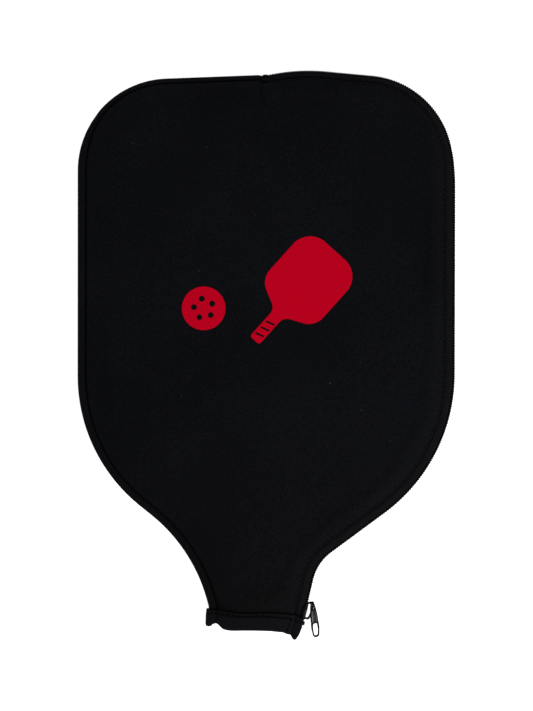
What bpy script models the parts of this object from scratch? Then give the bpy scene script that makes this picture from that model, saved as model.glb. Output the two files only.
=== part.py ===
"""Padded zip-up cover for a court-sport paddle, lying on its back, empty and zipped shut.

Metres, +Z up. +X runs across the cover towards the zip, +Y from the neck mouth towards
the closed end. The back's flat face lies on z = 0. Lengths below are in millimetres.
"""
import math

import bmesh
import bpy
from mathutils import Matrix, Vector

MM = 0.001
GAP = 0.3

# The outline seen from the front, as corners (x, y, radius): from the left of the neck
# mouth up the sewn side, over the top and down the zip side.
MOUTH_LEFT = (-34.0, -155.5, 0.0)
MOUTH_RIGHT = (18.4, -162.0, 0.0)
TOP_LEFT = (-109.0, 158.1, 52.0)
TOP_RIGHT = (108.3, 157.5, 52.0)
OUTLINE = (
    MOUTH_LEFT,
    (-33.2, -146.0, 8.0),
    (-41.1, -112.7, 95.0),
    (-109.1, -57.7, 96.0),
    TOP_LEFT,
    (-0.9, 162.7, 3.0),
    (16.7, 166.0, 110.0),
    TOP_RIGHT,
    (107.7, -60.8, 99.0),
    (28.6, -119.1, 28.0),
    MOUTH_RIGHT,
)

# Panels of foam rubber, front and back.
PANEL_THICK = 3.0
SEAM_Z = 7.5
CROWN_BODY = 19.5
CROWN_NECK = 19.0
NECK_TOP_Y = -90.0
NECK_LOW_Y = -142.0
SHOULDER_WIDTH = 22.0
SHOULDER_POWER = 2.2
FLANGE_WIDTH = 4.4
RING_SHARES = (0.0, 0.2, 0.36, 0.55, 0.78, 1.0)
SIDE_STEPS = 30
TOP_STEPS = 14
SEWN_TOP_STEPS = 6
SEAM_END = 2.0

# The zip: its tape shows as a strip between the panel's edge and the coil.
ZIP_START_X = -2.9
STRIP_WIDTH = 4.8
STRIP_LIFT = 3.0
TAPE_THICK = 0.7
TAPE_DEPTH = 3.0
COIL_RADIUS = 1.15
COIL_START = 3.2
ZIP_STEPS = 48
TAPE_SECTION = ((9.5, 2.3), (6.2, 2.3), (4.3, 2.2), (3.4, 1.85), (TAPE_DEPTH, 1.2), (TAPE_DEPTH, 0.5))

# The front opens by bending along a line from the zip's start to the neck's left side.
FOLD_TOP = (-2.9, 161.4)
FOLD_LOW = (-34.6, -146.4)

# The slider, parked at the neck end of the zip.
SLIDER_Y = -147.0
SLIDER_LENGTH = 10.4
SLIDER_TRAVEL = 12.0
PLATE_INSIDE = 1.5
PLATE_OUTSIDE = 2.5
BAIL_WIDTH = 1.6
BAIL_THICK = 0.8
PULL_PIVOT = (3.85, 4.0)
PULL_SWING = math.radians(21.8)
PULL_TWIST = math.radians(24.0)
PULL_THICK = 1.0

# The binding round the neck mouth.
BAND_HEIGHT = 9.4
BAND_THICK = 0.8
BAND_GAP = 0.7
BAND_TUCK = 1.5

THREAD_RADIUS = 0.3
FILM_THICK = 0.3


def clear_scene():
    for item in list(bpy.data.objects):
        bpy.data.objects.remove(item, do_unlink=True)
    for group in list(bpy.data.collections):
        bpy.data.collections.remove(group)


def new_collection(name):
    group = bpy.data.collections.new(name)
    bpy.context.scene.collection.children.link(group)
    return group


def material(name, colour, roughness, metallic=0.0):
    made = bpy.data.materials.new(name)
    made.use_nodes = True
    shader = made.node_tree.nodes["Principled BSDF"]
    shader.inputs["Base Color"].default_value = (*colour, 1.0)
    shader.inputs["Roughness"].default_value = roughness
    shader.inputs["Metallic"].default_value = metallic
    return made


def blend(low, high, share):
    return low + (high - low) * share


def smooth(share):
    share = min(max(share, 0.0), 1.0)
    return share * share * (3.0 - 2.0 * share)


def rounded_path(corners, closed=False, step=1.5):
    """The points of a line through corners (x, y, radius) with each corner rounded."""
    count = len(corners)
    points = []
    for index, (x, y, radius) in enumerate(corners):
        at = Vector((x, y))
        if radius == 0.0 or (not closed and index in (0, count - 1)):
            points.append(at)
            continue
        before = (Vector(corners[index - 1][:2]) - at).normalized()
        after = (Vector(corners[(index + 1) % count][:2]) - at).normalized()
        half = before.angle(after) / 2.0
        centre = at + (before + after).normalized() * radius / math.sin(half)
        start = at + before * radius / math.tan(half) - centre
        turn = math.pi - 2.0 * half
        if before.cross(after) > 0.0:
            turn = -turn
        pieces = max(2, round(abs(turn) * radius / step))
        for piece in range(pieces + 1):
            points.append(centre + Matrix.Rotation(turn * piece / pieces, 2) @ start)
    return points


def distances(points):
    total = [0.0]
    for before, after in zip(points, points[1:]):
        total.append(total[-1] + (after - before).length)
    return total


def point_at(points, total, distance):
    for index in range(1, len(points)):
        if total[index] >= distance or index == len(points) - 1:
            span = total[index] - total[index - 1]
            share = (distance - total[index - 1]) / span if span else 0.0
            return points[index - 1].lerp(points[index], share)


def resample(points, pieces, start=0.0, end=None):
    """Evenly spaced points along a line, between two distances from its first point."""
    total = distances(points)
    end = total[-1] if end is None else end
    return [point_at(points, total, blend(start, end, i / pieces)) for i in range(pieces + 1)]


def nearest(points, target):
    return min(range(len(points)), key=lambda i: (points[i] - Vector(target[:2])).length)


def inward(points):
    """The unit vector at each point that looks into the cover, to the right of the line."""
    found = []
    for index in range(len(points)):
        ahead = points[min(index + 1, len(points) - 1)]
        along = (ahead - points[max(index - 1, 0)]).normalized()
        found.append(Vector((along.y, -along.x)))
    return found


def outline_sides():
    """The outline in two lines that meet at the zip's start: the sewn side, then the zip."""
    line = rounded_path(OUTLINE)
    after = next(i for i, p in enumerate(line) if p.x >= ZIP_START_X and p.y > 0.0)
    before, ahead = line[after - 1], line[after]
    meeting = before.lerp(ahead, (ZIP_START_X - before.x) / (ahead.x - before.x))
    return line[:after] + [meeting], [meeting] + line[after:]


def zip_line():
    return outline_sides()[1]


def tuck(x, y):
    """1 where the binding presses the panels together, 0 above it."""
    share = (x - MOUTH_LEFT[0]) / (MOUTH_RIGHT[0] - MOUTH_LEFT[0])
    above = y - blend(MOUTH_LEFT[1], MOUTH_RIGHT[1], share)
    return smooth((17.0 - above) / 3.5)


def rise(inset, share):
    """How far the pillow shape has risen from its edge to its crown."""
    flat = blend(FLANGE_WIDTH, STRIP_WIDTH, share)
    part = min(max((inset - flat) / (SHOULDER_WIDTH - flat), 0.0), 1.0)
    return 1.0 - (1.0 - part) ** SHOULDER_POWER


def front_z(x, y, inset, share):
    edge = blend(SEAM_Z + GAP / 2 + PANEL_THICK, SEAM_Z + STRIP_LIFT + PANEL_THICK, share)
    crown = blend(CROWN_NECK, CROWN_BODY, smooth((y - NECK_LOW_Y) / (NECK_TOP_Y - NECK_LOW_Y)))
    return blend(edge, crown - BAND_TUCK * tuck(x, y), rise(inset, share))


def back_z(x, y, inset, share):
    edge = blend(SEAM_Z - GAP / 2 - PANEL_THICK, SEAM_Z - STRIP_LIFT - PANEL_THICK, share)
    return max(edge * (1.0 - rise(inset, share)), BAND_TUCK * tuck(x, y))


def panel_grid(height):
    """The outer skin of a panel as rings inside the outline, and the patch they enclose."""
    sewn, zipped = outline_sides()
    first, last = nearest(sewn, TOP_LEFT), nearest(zipped, TOP_RIGHT)
    edge = resample(sewn[: first + 1], SIDE_STEPS)
    edge += resample(sewn[first:], SEWN_TOP_STEPS, 0.0, distances(sewn[first:])[-1] - SEAM_END)[1:]
    sewn_count = len(edge)
    edge += resample(zipped[: last + 1], TOP_STEPS - SEWN_TOP_STEPS - 1)
    edge += resample(zipped[last:], SIDE_STEPS)[1:]
    looks = inward(edge)
    rings = []
    for ring_share in RING_SHARES:
        ring = []
        for index, (point, look) in enumerate(zip(edge, looks)):
            share = float(index >= sewn_count)
            inset = blend(share * STRIP_WIDTH, SHOULDER_WIDTH, ring_share)
            x, y = point + look * inset
            ring.append(Vector((x, y, height(x, y, inset, share))))
        rings.append(ring)
    inner = rings[-1]
    left = inner[: SIDE_STEPS + 1]
    top = inner[SIDE_STEPS : SIDE_STEPS + TOP_STEPS + 1]
    right = inner[: SIDE_STEPS + TOP_STEPS - 1 : -1]
    patch = []
    for row in range(SIDE_STEPS + 1):
        v = row / SIDE_STEPS
        points = []
        for column in range(TOP_STEPS + 1):
            u = column / TOP_STEPS
            low = left[0].lerp(right[0], u)
            across = left[row].lerp(right[row], u)
            along = low.lerp(top[column], v)
            corners = low.lerp(left[-1].lerp(right[-1], u), v)
            point = across + along - corners
            points.append(Vector((point.x, point.y, height(point.x, point.y, SHOULDER_WIDTH, 0.0))))
        patch.append(points)
    return rings, patch


def sheet_mesh(name, grids, flip=False):
    """An open mesh from grids of points, welded where they meet."""
    mesh = bmesh.new()
    for grid in grids:
        rows = [[mesh.verts.new(point * MM) for point in row] for row in grid]
        for low, high in zip(rows, rows[1:]):
            for i in range(len(low) - 1):
                mesh.faces.new((low[i], low[i + 1], high[i + 1], high[i]))
    bmesh.ops.remove_doubles(mesh, verts=mesh.verts, dist=0.00002)
    bmesh.ops.recalc_face_normals(mesh, faces=mesh.faces)
    upward = sum(face.normal.z * face.calc_area() for face in mesh.faces) > 0.0
    if upward == flip:
        bmesh.ops.reverse_faces(mesh, faces=mesh.faces)
    data = bpy.data.meshes.new(name)
    mesh.to_mesh(data)
    mesh.free()
    return data


def add(group, name, data, surface):
    item = bpy.data.objects.new(name, data)
    data.materials.append(surface)
    group.objects.link(item)
    return item


def thicken(item, thickness, offset):
    solid = item.modifiers.new("Thickness", "SOLIDIFY")
    solid.thickness = thickness * MM
    solid.offset = offset


def cut_along_fold(cutters, item, sign, surface):
    """Cuts away all of a panel on one side of the fold."""
    along = (Vector(FOLD_TOP) - Vector(FOLD_LOW)).normalized()
    place = Matrix.Translation(Vector((*FOLD_TOP, 0.0)) * MM)
    place = place @ Matrix.Rotation(-math.atan2(along.x, along.y), 4, "Z")
    near, far = sorted((sign * GAP / 2, -sign * 180.0))
    cutter = box(cutters, "cut_" + item.name, (near, -340.0, -20.0), (far, 20.0, 40.0), surface, place)
    cut = item.modifiers.new("Fold", "BOOLEAN")
    cut.operation = "DIFFERENCE"
    cut.solver = "EXACT"
    cut.object = cutter
    cutter.hide_render = True
    cutter.display_type = "WIRE"


def build_panels(group, cutters, cloth):
    rings, patch = panel_grid(back_z)
    back = add(group, "back_panel", sheet_mesh("back_panel", (rings, patch), flip=True), cloth)
    thicken(back, PANEL_THICK, -1.0)
    rings, patch = panel_grid(front_z)
    for name, sign in (("front_panel_fixed", -1.0), ("front_panel_flap", 1.0)):
        item = add(group, name, sheet_mesh(name, (rings, patch)), cloth)
        thicken(item, PANEL_THICK, -1.0)
        cut_along_fold(cutters, item, sign, cloth)


def zip_distance(y):
    """How far along the zip its straight neck stretch reaches height y."""
    line = zip_line()
    total = distances(line)
    low, before = line[-1], line[-2]
    return total[-1] - (y - low.y) / (before - low).normalized().y


def build_tape(group, name, side, surface, stop_y=None):
    """One half of the zip's tape; below stop_y it has no lip under the coil."""
    line = resample(zip_line(), ZIP_STEPS, 4 * GAP)
    looks = inward(line)
    rows = []
    for point, look in zip(line, looks):
        row = []
        for inset, lift in TAPE_SECTION:
            x, y = point + look * inset
            row.append(Vector((x, y, SEAM_Z + side * lift)))
        rows.append(row)
    split = len(rows) - 1
    if stop_y is not None:
        split = next(i for i, row in enumerate(rows) if row[-1].y < stop_y) - 1
    grids = [rows[: split + 1], [row[:4] for row in rows[split:]]]
    item = add(group, name, sheet_mesh(name, [g for g in grids if len(g) > 1]), surface)
    thicken(item, TAPE_THICK, 0.0)


def tube(group, name, points, radius, surface):
    curve = bpy.data.curves.new(name, "CURVE")
    curve.dimensions = "3D"
    curve.bevel_depth = radius * MM
    curve.bevel_resolution = 1
    curve.use_fill_caps = True
    spline = curve.splines.new("POLY")
    spline.points.add(len(points) - 1)
    for knot, point in zip(spline.points, points):
        knot.co = (*(point * MM), 1.0)
    return add(group, name, curve, surface)


def build_coil(group, name, side, surface, end):
    line = resample(zip_line(), ZIP_STEPS)
    total = resample([Vector((0.0, 0.0)), Vector((distances(zip_line())[-1], 0.0))], ZIP_STEPS)
    total = [reached.x for reached in total]
    lift = SEAM_Z + side * (COIL_RADIUS + GAP / 2)
    points = [Vector((*(p + look * COIL_RADIUS), lift)) for p, look in zip(line, inward(line))]
    middle = [p for p, distance in zip(points, total) if COIL_START < distance < end - 1.0]
    ends = [point_at(points, total, distance) for distance in (COIL_START, end)]
    tube(group, name, [ends[0]] + middle + [ends[1]], COIL_RADIUS, surface)


def edge_thread(group, name, height, surface, zip_side):
    """A line of topstitching that follows the outline on one side of the cover."""
    line = outline_sides()[1 if zip_side else 0]
    margins = (4.0, 14.0) if zip_side else (34.0, 4.0)
    line = resample(line, 36, margins[0], distances(line)[-1] - margins[1])
    inset = STRIP_WIDTH + 2.0 if zip_side else FLANGE_WIDTH - 0.6
    lift = THREAD_RADIUS + GAP + 0.2
    points = []
    for point, look in zip(line, inward(line)):
        x, y = point + look * inset
        z = height(x, y, inset, float(zip_side))
        points.append(Vector((x, y, z + lift if height is front_z else z - lift)))
    tube(group, name, points, THREAD_RADIUS, surface)


def mouth_line(height, side):
    """The panel's end at the neck mouth: points, directions up the panel and out of it."""
    rings, patch = panel_grid(height)
    pairs = [(ring[0], ring[1]) for ring in rings]
    pairs += list(zip(patch[0], patch[1]))[1:-1]
    pairs += [(ring[-1], ring[-2]) for ring in reversed(rings)]
    found = []
    for index, (point, above) in enumerate(pairs):
        across = pairs[min(index + 1, len(pairs) - 1)][0] - pairs[max(index - 1, 0)][0]
        upward = (above - point).normalized()
        found.append((point, upward, across.cross(upward).normalized() * side))
    return found


def build_band(group, name, height, side, surface):
    """Binding folded over the panel's end: an outer leg, a fold and an inner leg.

    The inner leg stops short of the sewn seam at the left and of the zip tape at the right.
    """
    off = BAND_GAP + BAND_THICK / 2
    inside = -PANEL_THICK - off - GAP
    rows = []
    for lift, level in (
        (BAND_HEIGHT, off),
        (BAND_HEIGHT / 2, off),
        (0.2, off),
        (-0.95, off - 0.7),
        (-1.25, -PANEL_THICK / 2),
        (-0.95, inside + 0.7),
        (0.2, inside),
        (8.5, inside),
    ):
        rows.append([p + up * lift + out * level for p, up, out in mouth_line(height, side)])
    inner_leg = [row[3:-2] for row in rows[4:]]
    item = add(group, name, sheet_mesh(name, (rows[:5], inner_leg)), surface)
    thicken(item, BAND_THICK, 0.0)


def band_thread(group, name, height, side, surface):
    """The stitching through the binding, pulled into it on the side that is lain on."""
    level = BAND_GAP + BAND_THICK + (GAP + THREAD_RADIUS)
    line = mouth_line(height, side)[1:-1]
    points = [p + up * (BAND_HEIGHT - 2.0) + out * level for p, up, out in line]
    tube(group, name, points, THREAD_RADIUS, surface)


def end_tack(group, name, height, side, surface):
    """The slanted tack that holds the binding's end at the zip."""
    level = BAND_GAP + BAND_THICK + (GAP + THREAD_RADIUS)
    low, high = (mouth_line(height, side)[index] for index in (-3, -2))
    points = [low[0] + low[1] * 1.0 + low[2] * level, high[0] + high[1] * 5.6 + high[2] * level]
    tube(group, name, points, THREAD_RADIUS * 1.2, surface)


def slab(group, name, loops, thickness, surface, place):
    """A flat plate with holes: outlines filled in, thickened both ways, then placed."""
    mesh = bmesh.new()
    for loop in loops:
        verts = [mesh.verts.new((p.x * MM, p.y * MM, 0.0)) for p in loop]
        for before, after in zip(verts, verts[1:] + verts[:1]):
            mesh.edges.new((before, after))
    bmesh.ops.triangle_fill(mesh, edges=mesh.edges, use_beauty=True, normal=(0.0, 0.0, 1.0))
    bmesh.ops.recalc_face_normals(mesh, faces=mesh.faces)
    data = bpy.data.meshes.new(name)
    mesh.to_mesh(data)
    mesh.free()
    item = add(group, name, data, surface)
    item.matrix_world = place
    thicken(item, thickness, 0.0)
    return item


def circle(x, y, radius, pieces):
    turn = 2.0 * math.pi / pieces
    return [
        Vector((x + radius * math.cos(i * turn), y + radius * math.sin(i * turn)))
        for i in range(pieces)
    ]


def build_emblem(group, film):
    """A plain sign of a paddle and a perforated ball."""
    level = CROWN_BODY + GAP + FILM_THICK / 2
    holes = [circle(5.6 * math.cos(a), 5.6 * math.sin(a), 1.7, 10) for a in (0.5, 1.757, 3.014, 4.27, 5.527)]
    ball = [circle(0.0, 0.0, 12.5, 28)] + holes
    place = Matrix.Translation(Vector((-36.0, 27.0, level)) * MM)
    slab(group, "emblem_ball", ball, FILM_THICK, film, place)
    face = (
        (-3.6, -20.0, 1.5),
        (3.6, -20.0, 1.5),
        (3.6, 1.0, 6.0),
        (20.5, 9.0, 11.0),
        (20.5, 49.0, 13.0),
        (-20.5, 49.0, 13.0),
        (-20.5, 9.0, 11.0),
        (-3.6, 1.0, 6.0),
    )
    grip_lines = [
        rounded_path(((-2.6, y, 0.3), (2.6, y + 1.6, 0.3), (2.6, y + 2.8, 0.3), (-2.6, y + 1.2, 0.3)), True)
        for y in (-17.0, -12.5, -8.0)
    ]
    place = Matrix.Translation(Vector((6.5, 23.5, level)) * MM) @ Matrix.Rotation(math.radians(-42.0), 4, "Z")
    slab(group, "emblem_paddle", [rounded_path(face, True, 3.0)] + grip_lines, FILM_THICK, film, place)


def slider_place():
    """Puts +X outward, +Y up the zip and +Z across it, with the slider's centre at 0."""
    line = zip_line()
    along = (line[-2] - line[-1]).normalized()
    share = (SLIDER_Y - line[-1].y) / along.y
    outward = Vector((along.y, -along.x))
    centre = line[-1] + along * share - outward * COIL_RADIUS
    turn = Matrix.Rotation(-math.atan2(along.x, along.y), 4, "Z")
    return Matrix.Translation(Vector((*centre, SEAM_Z)) * MM) @ turn


def start_place():
    """Puts -Y along the zip from its start, with +X outward."""
    line = zip_line()
    along = (line[0] - line[1]).normalized()
    turn = Matrix.Rotation(-math.atan2(along.x, along.y), 4, "Z")
    centre = line[0] - Vector((along.y, -along.x)) * COIL_RADIUS
    return Matrix.Translation(Vector((*centre, SEAM_Z)) * MM) @ turn


def box(group, name, low, high, surface, place, bevel=0.0):
    mesh = bmesh.new()
    bmesh.ops.create_cube(mesh, size=1.0)
    size = Vector(high) - Vector(low)
    middle = (Vector(high) + Vector(low)) / 2
    bmesh.ops.scale(mesh, vec=size * MM, verts=mesh.verts)
    bmesh.ops.translate(mesh, vec=middle * MM, verts=mesh.verts)
    data = bpy.data.meshes.new(name)
    mesh.to_mesh(data)
    mesh.free()
    item = add(group, name, data, surface)
    item.matrix_world = place
    if bevel:
        rounding = item.modifiers.new("Rounding", "BEVEL")
        rounding.width = bevel * MM
        rounding.segments = 1
    return item


def join(item, others):
    for other in others:
        union = item.modifiers.new("Join " + other.name, "BOOLEAN")
        union.operation = "UNION"
        union.solver = "EXACT"
        union.object = other
        other.hide_render = True
        other.display_type = "WIRE"


def build_slider(group, cutters, metal, place):
    half = SLIDER_LENGTH / 2
    outer = box(
        group, "slider_body", (PLATE_INSIDE, -half, -3.6), (PLATE_OUTSIDE, half, 3.6), metal, place
    )
    more = []
    for name, low, high in (
        ("cheek_front", (-0.4, -half + 0.4, 2.8), (PLATE_INSIDE + 0.4, half - 0.4, 3.45)),
        ("cheek_back", (-0.4, -half + 0.4, -3.45), (PLATE_INSIDE + 0.4, half - 0.4, -2.8)),
        ("inner_plate", (-3.6, -half + 0.3, -1.45), (-2.6, half - 0.3, 1.45)),
        ("post", (-3.0, -half + 0.5, 0.2), (PLATE_INSIDE + 0.4, -half + 2.9, 1.2)),
    ):
        more.append(box(cutters, name, low, high, metal, place))
    join(outer, more)
    rounding = outer.modifiers.new("Rounding", "BEVEL")
    rounding.width = 0.2 * MM
    rounding.segments = 1
    rounding.limit_method = "ANGLE"

    foot = PLATE_OUTSIDE + GAP + BAIL_THICK / 2
    path = rounded_path(
        (
            (foot, -4.4, 0.0),
            (4.3, -4.3, 0.6),
            (5.2, -1.8, 2.5),
            (5.5, 5.8, 0.8),
            (4.2, 6.1, 0.5),
            (foot, 5.1, 0.0),
        ),
        step=0.6,
    )
    grid = [[Vector((p.x, p.y, z)) for z in (-BAIL_WIDTH / 2, BAIL_WIDTH / 2)] for p in path]
    bail = add(group, "slider_bail", sheet_mesh("slider_bail", (grid,)), metal)
    bail.matrix_world = place
    thicken(bail, BAIL_THICK, 0.0)


def build_pull(group, metal, place):
    down = Vector((math.sin(PULL_SWING), -math.cos(PULL_SWING), 0.0))
    normal = Vector((math.cos(PULL_SWING), math.sin(PULL_SWING), 0.0))
    wide = Vector((0.0, 0.0, math.cos(PULL_TWIST))) + normal * math.sin(PULL_TWIST)
    turn = Matrix((wide, down, wide.cross(down))).transposed().to_4x4()
    pivot = Matrix.Translation(Vector((*PULL_PIVOT, 0.0)) * MM)
    body = (
        (-1.75, -0.45, 0.6),
        (1.75, -0.45, 0.6),
        (3.1, 6.0, 3.0),
        (3.9, 13.0, 4.0),
        (2.6, 17.9, 2.4),
        (-2.6, 17.9, 2.4),
        (-3.9, 13.0, 4.0),
        (-3.1, 6.0, 3.0),
    )
    window = ((-1.1, 0.45, 0.3), (1.1, 0.45, 0.3), (2.0, 6.8, 0.8), (-2.0, 6.8, 0.8))
    hole = ((0.0, 10.2, 0.5), (2.3, 14.0, 1.5), (1.5, 16.6, 1.2), (-1.5, 16.6, 1.2), (-2.3, 14.0, 1.5))
    loops = [rounded_path(shape, True, 0.9) for shape in (body, window, hole)]
    slab(group, "pull_tab", loops, PULL_THICK, metal, place @ pivot @ turn)


def main():
    clear_scene()
    group = new_collection("paddle_case")
    cutters = new_collection("cutters")
    cutters.hide_render = True
    cloth = material("foam_rubber_black", (0.012, 0.012, 0.014), 0.85)
    tape = material("zip_tape_black", (0.025, 0.023, 0.027), 0.9)
    coil = material("zip_coil_black", (0.01, 0.01, 0.011), 0.4)
    binding = material("binding_black", (0.014, 0.014, 0.015), 0.9)
    thread = material("thread_black", (0.008, 0.008, 0.009), 0.7)
    film = material("emblem_red", (0.46, 0.002, 0.013), 0.5)
    metal = material("slider_metal", (0.1, 0.1, 0.11), 0.35, 1.0)
    tack = material("stop_black", (0.01, 0.01, 0.01), 0.5)

    build_panels(group, cutters, cloth)
    place = slider_place()
    reach = SLIDER_Y + SLIDER_LENGTH / 2 + SLIDER_TRAVEL + 0.5
    build_tape(group, "zip_tape_back", -1, tape)
    build_tape(group, "zip_tape_front", 1, tape, reach)
    build_coil(group, "zip_coil_back", -1, coil, zip_distance(SLIDER_Y - SLIDER_LENGTH / 2 - 0.6))
    build_coil(group, "zip_coil_front", 1, coil, zip_distance(reach))
    box(group, "zip_end_stop", (-1.1, -8.2, -2.4), (1.6, -6.2, 2.4), tack, place, 0.4)
    box(group, "zip_start_tack", (-1.1, -2.8, -2.4), (1.0, -0.5, 2.4), thread, start_place(), 0.4)
    build_slider(group, cutters, metal, place)
    build_pull(group, metal, place)

    build_band(group, "hem_band_front", front_z, 1, binding)
    build_band(group, "hem_band_back", back_z, -1, binding)
    band_thread(group, "hem_stitch_front", front_z, 1, thread)
    end_tack(group, "hem_end_tack", front_z, 1, thread)

    edge_thread(group, "seam_stitch_front", front_z, thread, False)
    edge_thread(group, "seam_stitch_back", back_z, thread, False)
    edge_thread(group, "zip_stitch_front", front_z, thread, True)
    edge_thread(group, "zip_stitch_back", back_z, thread, True)
    build_emblem(group, film)


main()
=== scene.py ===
"""The looks of a padded zip-up paddle cover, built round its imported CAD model.

Lengths are in millimetres and become metres through MM. +X runs across the cover towards the
zip, +Y towards its closed end and +Z out of its front. The cover lies on its back on z = 0.
"""
import math

import bmesh
import bpy
from mathutils import Matrix, Vector
from mathutils.bvhtree import BVHTree


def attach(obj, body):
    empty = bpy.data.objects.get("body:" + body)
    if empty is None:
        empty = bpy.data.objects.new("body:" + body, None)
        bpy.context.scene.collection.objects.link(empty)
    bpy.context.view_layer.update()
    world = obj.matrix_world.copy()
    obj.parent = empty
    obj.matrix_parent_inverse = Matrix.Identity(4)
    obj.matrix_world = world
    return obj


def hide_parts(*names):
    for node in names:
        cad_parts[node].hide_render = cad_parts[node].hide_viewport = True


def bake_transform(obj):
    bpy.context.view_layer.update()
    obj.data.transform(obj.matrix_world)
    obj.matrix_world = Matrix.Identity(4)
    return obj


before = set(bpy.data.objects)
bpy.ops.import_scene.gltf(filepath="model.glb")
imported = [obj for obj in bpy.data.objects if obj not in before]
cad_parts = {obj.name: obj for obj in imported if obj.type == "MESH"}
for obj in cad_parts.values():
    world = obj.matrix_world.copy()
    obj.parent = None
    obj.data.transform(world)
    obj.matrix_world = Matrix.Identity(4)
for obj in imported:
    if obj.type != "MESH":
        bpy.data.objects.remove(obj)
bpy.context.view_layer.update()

MM = 0.001

# The outline seen from the front, as corners (x, y, radius). It follows the CAD model's, with the
# sewn side of the top a little lower and rounder.
MOUTH_LEFT = (-34.0, -155.5, 0.0)
MOUTH_RIGHT = (18.4, -162.0, 0.0)
TOP_LEFT = (-109.0, 157.8, 53.0)
TOP_RIGHT = (108.3, 157.5, 52.0)
OUTLINE = (
    MOUTH_LEFT,
    (-33.2, -146.0, 8.0),
    (-41.1, -112.7, 95.0),
    (-109.1, -57.7, 96.0),
    TOP_LEFT,
    (-0.9, 161.9, 3.0),
    (16.7, 166.0, 110.0),
    TOP_RIGHT,
    (107.7, -60.8, 99.0),
    (28.6, -119.1, 28.0),
    MOUTH_RIGHT,
)

# Panels of foam rubber: 3 mm sheets that meet at SEAM_Z and rise to a crown. RINGS are shares of the
# way from a panel's edge to its shoulder, closest together at the seam's groove.
PANEL_THICK = 3.0
SEAM_Z = 7.5
SEAM_GAP = 0.15
CROWN_BODY = 19.5
CROWN_NECK = 19.0
NECK_TOP_Y = -90.0
NECK_LOW_Y = -142.0
SHOULDER_WIDTH = 22.0
SHOULDER_POWER = 2.2
FLANGE_WIDTH = 4.9
FLANGE_WIDTH_TOP = 3.0
SEAM_END = 0.4
HEM_TUCK = 1.5
HEM_RISE = 2.6
RINGS = (0.0, 0.03, 0.08, 0.15, 0.24, 0.33, 0.41, 0.45, 0.475, 0.5)
RINGS += (0.51, 0.525, 0.55, 0.59, 0.65, 0.73, 0.82, 0.91, 1.0)
SIDE_STEPS = 220
TOP_STEPS = 132
GROOVE_DEPTH = 1.7
GROOVE_WIDTH = 0.42
VALLEY_DEPTH = 0.9
SINK_CAP = 2.5
FALL_FRAMES = 20

# The zip: its tape shows as a strip between the panel's edge and the coil. Along the top the zip is
# drawn in by ZIP_TUCK. Lifts are heights above the seam.
ZIP_START_X = -2.9
STRIP_WIDTH = 5.0
STRIP_LIFT = 3.0
ZIP_TUCK = 1.3
TAPE_THICK = 0.5
TAPE_TOP = 2.4
TAPE_DIP = 0.9
TAPE_EDGE = 0.45
COIL_PITCH = 1.45
COIL_DEPTH = 0.66
COIL_RISE = 1.5
COIL_INSET = 0.05
FILAMENT = 0.42
STITCH = 0.28
HEM_STITCH = 0.38

# The slider, parked at the neck end of the zip. The places of its parts are in its own frame: +X
# outward, +Y up the zip and +Z across it.
SLIDER_Y = -147.0
COIL_RADIUS = 1.15
BAIL_SECTION = (
    (-0.5, -0.4),
    (-0.3, -0.65),
    (0.3, -0.65),
    (0.5, -0.4),
    (0.5, 0.4),
    (0.3, 0.65),
    (-0.3, 0.65),
    (-0.5, 0.4),
)
PULL_TOP = (4.2, 5.9, 0.8)
PULL_SWING = math.radians(20.6)
PULL_TWIST = math.radians(58.0)
PULL_TILT = math.radians(10.0)

# The binding round the neck mouth: its folded lower edge and its upper edge, as (x, y). It stands
# HEM_OFF off the panel and hangs over its sewn side by HEM_OVER.
HEM_LOW = (
    (-36.0, -155.9),
    (-33.4, -156.0),
    (-31.6, -154.8),
    (-26.2, -154.7),
    (-22.4, -157.2),
    (-18.5, -157.7),
    (-12.0, -157.5),
    (-2.0, -157.7),
    (5.0, -158.5),
    (10.5, -159.6),
    (13.3, -162.1),
    (15.6, -163.5),
    (17.6, -163.3),
    (18.6, -161.6),
    (20.9, -156.6),
)
HEM_TOP = (
    (-36.0, -146.2),
    (-24.0, -146.3),
    (-12.7, -147.3),
    (-2.9, -147.0),
    (6.4, -147.9),
    (13.3, -149.2),
    (19.1, -151.2),
    (21.5, -152.2),
)
HEM_OVER = 0.75
HEM_OFF = 0.9
HEM_THICK = 0.7
HEM_ENDS = (-35.4, 20.3)
HEM_SHARES = (1.0, 0.97, 0.86, 0.78, 0.7, 0.5, 0.3, 0.14)
HEM_COLUMNS = 88
HEM_PITCH = 3.3

# Stitches along the edges: their pitches, and where they start and stop along each side.
SEWN_PITCH = 4.5
SEWN_STARTS = 14.0
SEWN_STOPS = 4.0
ZIP_PITCH = 3.0
ZIP_STARTS = 5.0
ZIP_STOPS = 14.0
COIL_START = 2.2
COIL_STOP = 8.0
KNIT_CELL = 0.75


# ---------------------------------------------------------------- plain geometry

def blend(low, high, share):
    return low + (high - low) * share


def smooth(share):
    share = min(max(share, 0.0), 1.0)
    return share * share * (3.0 - 2.0 * share)


def quarter(share):
    """A quarter circle's height over its run, both from 0 to 1."""
    share = min(max(share, 0.0), 1.0)
    return math.sqrt(1.0 - (1.0 - share) ** 2)


def through(points, x):
    """The smooth curve through points (x, y), with x rising."""
    last = len(points) - 2
    index = min(max(sum(p[0] <= x for p in points) - 1, 0), last)
    (x0, y0), (x1, y1) = points[index], points[index + 1]
    slopes = []
    for i in (index, index + 1):
        low, high = points[max(i - 1, 0)], points[min(i + 1, len(points) - 1)]
        slopes.append((high[1] - low[1]) / (high[0] - low[0]) * (x1 - x0))
    t = min(max((x - x0) / (x1 - x0), 0.0), 1.0)
    return (
        y0 * (1 + 2 * t) * (1 - t) ** 2
        + slopes[0] * t * (1 - t) ** 2
        + y1 * t * t * (3 - 2 * t)
        + slopes[1] * t * t * (t - 1)
    )


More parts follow.
